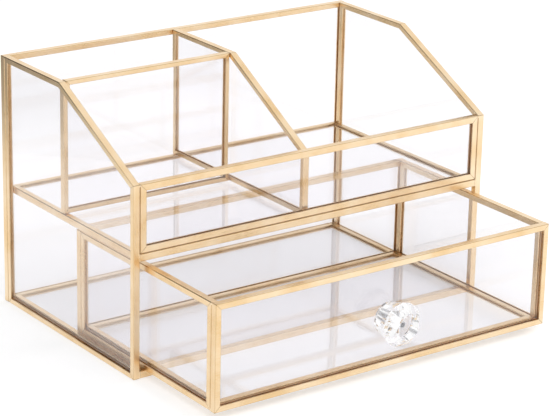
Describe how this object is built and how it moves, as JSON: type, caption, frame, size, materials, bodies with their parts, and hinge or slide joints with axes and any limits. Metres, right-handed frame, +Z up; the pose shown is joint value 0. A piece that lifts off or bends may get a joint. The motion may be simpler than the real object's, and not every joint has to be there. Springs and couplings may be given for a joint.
{
  "type": "vanity organizer",
  "caption": "Clear glass vanity organizer with brass channel edges, sloped open compartments above and a sliding drawer with a cut crystal knob below.",
  "frame": {"origin": "middle of the underside of the case's front bottom rail, on the surface it stands on", "axes": "+X to the right seen from the front, -Y towards the front, the way the drawer opens, +Z up"},
  "size_m": [0.28, 0.2612, 0.1724],
  "materials": {
    "channel_brass": "satin gold-coloured folded channel",
    "pane_glass": "clear float glass",
    "crystal": "clear cut crystal",
    "bright_metal": "bright plated"
  },
  "bodies": {
    "case": {"back_bottom_rail": "channel_brass", "back_left_rail": "channel_brass", "back_pane": "pane_glass", "back_right_rail": "channel_brass", "back_top_rail": "channel_brass", "base_front_rail": "channel_brass", "base_left_rail": "channel_brass", "base_pane": "pane_glass", "base_rear_rail": "channel_brass", "base_right_rail": "channel_brass", "divider_bottom_rail": "channel_brass", "divider_front_rail": "channel_brass", "divider_pane": "pane_glass", "divider_rear_rail": "channel_brass", "divider_slope_rail": "channel_brass", "divider_top_rail": "channel_brass", "front_bottom_rail": "channel_brass", "front_left_rail": "channel_brass", "front_pane": "pane_glass", "front_right_rail": "channel_brass", "front_top_rail": "channel_brass", "left_side_bottom_rail": "channel_brass", "left_side_front_rail": "channel_brass", "left_side_pane": "pane_glass", "left_side_rear_rail": "channel_brass", "left_side_slope_rail": "channel_brass", "left_side_top_rail": "channel_brass", "partition_bottom_rail": "channel_brass", "partition_left_rail": "channel_brass", "partition_pane": "pane_glass", "partition_right_rail": "channel_brass", "partition_top_rail": "channel_brass", "right_side_bottom_rail": "channel_brass", "right_side_front_rail": "channel_brass", "right_side_pane": "pane_glass", "right_side_rear_rail": "channel_brass", "right_side_slope_rail": "channel_brass", "right_side_top_rail": "channel_brass", "tray_front_rail": "channel_brass", "tray_left_rail": "channel_brass", "tray_pane": "pane_glass", "tray_rear_rail": "channel_brass", "tray_right_rail": "channel_brass"},
    "drawer": {"drawer_back_frame": "channel_brass", "drawer_back_pane": "pane_glass", "drawer_floor_frame": "channel_brass", "drawer_floor_pane": "pane_glass", "drawer_front_frame": "channel_brass", "drawer_front_pane": "pane_glass", "drawer_left_frame": "channel_brass", "drawer_left_pane": "pane_glass", "drawer_right_frame": "channel_brass", "drawer_right_pane": "pane_glass", "knob_crystal": "crystal", "knob_insert": "bright_metal", "knob_screw": "bright_metal", "knob_washer": "bright_metal"}
  },
  "joints": [
    {"name": "drawer_slide", "type": "slide", "parent": "case", "child": "drawer", "axis": [0, -1, 0], "range_m": [-0.0787, 0.0363]}
  ]
}
